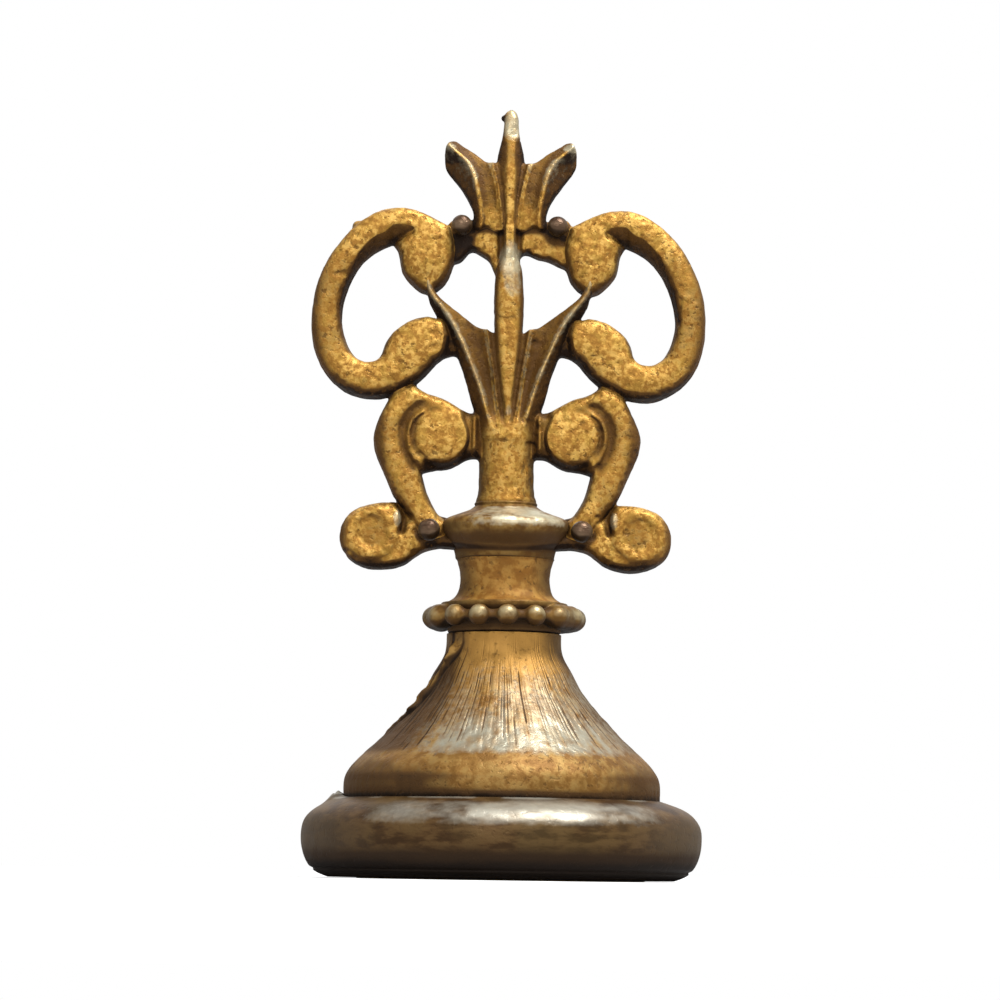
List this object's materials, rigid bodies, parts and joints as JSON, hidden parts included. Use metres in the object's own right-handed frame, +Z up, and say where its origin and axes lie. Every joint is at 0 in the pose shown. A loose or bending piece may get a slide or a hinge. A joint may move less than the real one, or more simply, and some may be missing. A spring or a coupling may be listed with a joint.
{
  "type": "wax seal stamp",
  "caption": "Hand seal: an engraved die held by a screwed ring under a flared bell, with a beaded collar, a knop and a pierced scroll and leaf handle.",
  "frame": {"origin": "centre of the seal die's face, on the surface that it rests on", "axes": "+Z up along the handle, X across the flat of the handle, -Y towards the viewer of its front"},
  "size_m": [0.03, 0.03, 0.0585],
  "materials": {
    "gilt_brass": "old gilding, pitted and worn, dark in the recesses",
    "worn_brass": "gilding worn through to dull pewter-grey metal",
    "dark_pin": "dark patina, polished on top",
    "steel": "plain turned steel",
    "die_brass": "satin, engraved"
  },
  "bodies": {
    "handle": {"bell_shell": "gilt_brass", "neck_tube": "gilt_brass", "stem": "gilt_brass", "left_fan_leaf": "gilt_brass", "right_fan_leaf": "gilt_brass", "spear_bud": "gilt_brass", "left_c_scroll": "gilt_brass", "right_c_scroll": "gilt_brass", "left_s_scroll": "gilt_brass", "right_s_scroll": "gilt_brass", "left_foot_volute": "gilt_brass", "right_foot_volute": "gilt_brass", "top_crossbar": "gilt_brass", "finial_left_leaf": "gilt_brass", "finial_centre_leaf": "gilt_brass", "finial_right_leaf": "gilt_brass", "bead_collar": "worn_brass", "knop_collar": "worn_brass", "lower_left_pin": "dark_pin", "lower_right_pin": "dark_pin", "upper_left_pin": "dark_pin", "upper_right_pin": "dark_pin", "tie_rod": "steel", "tie_nut": "steel", "tie_washer": "steel", "die_key_pin": "steel"},
    "die": {"seal_die": "die_brass"},
    "ring": {"foot_ring": "worn_brass"}
  },
  "joints": [
    {"name": "die_drop", "type": "slide", "parent": "handle", "child": "die", "axis": [0, 0, -1], "range_m": [0, 0.003]},
    {"name": "ring_turn", "type": "hinge", "parent": "die", "child": "ring", "pos_m": [0, 0, 0], "axis": [0, 0, -1], "range_deg": [0, 1440]}
  ],
  "couplings": [
    {"joint": "ring_turn", "follows": "die_drop", "rad_per_m": 8377.5}
  ]
}
